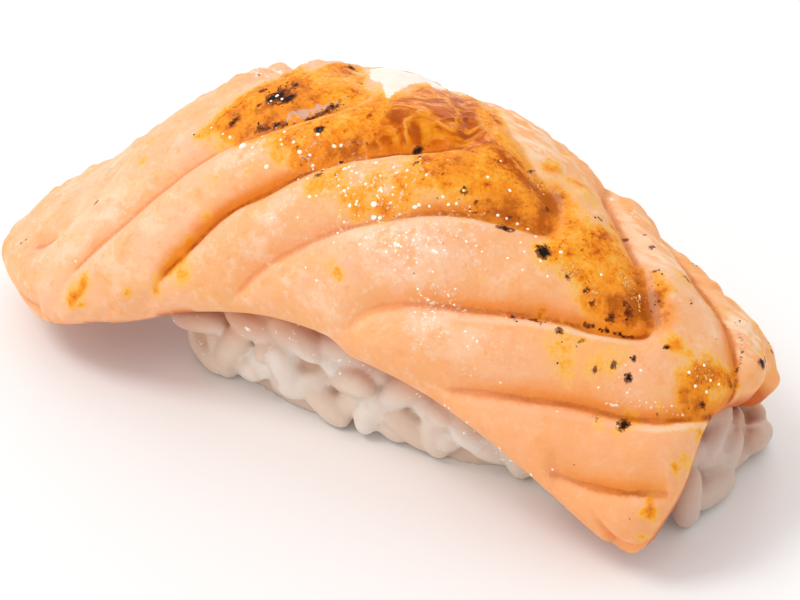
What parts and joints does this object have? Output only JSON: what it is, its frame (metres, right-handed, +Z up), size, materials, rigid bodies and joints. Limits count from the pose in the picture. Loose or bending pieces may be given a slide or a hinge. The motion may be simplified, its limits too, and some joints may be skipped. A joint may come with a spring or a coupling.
{
  "type": "salmon nigiri",
  "caption": "Seared salmon slice draped over a pressed oblong block of sushi rice, resting flat on the foot of the rice.",
  "frame": {"origin": "on the flat foot of the rice, near its middle", "axes": "+X along the slice towards its near end, where the rice shows under the arch, -Y the front, where the slice hangs lowest, +Z up"},
  "size_m": [0.0756, 0.0338, 0.0278],
  "materials": {
    "rice": "moist cooked rice, slightly translucent",
    "salmon": "moist seared salmon with a thin glaze"
  },
  "bodies": {
    "root": {"rice_ball": "rice", "salmon_slice": "salmon"}
  },
  "joints": []
}
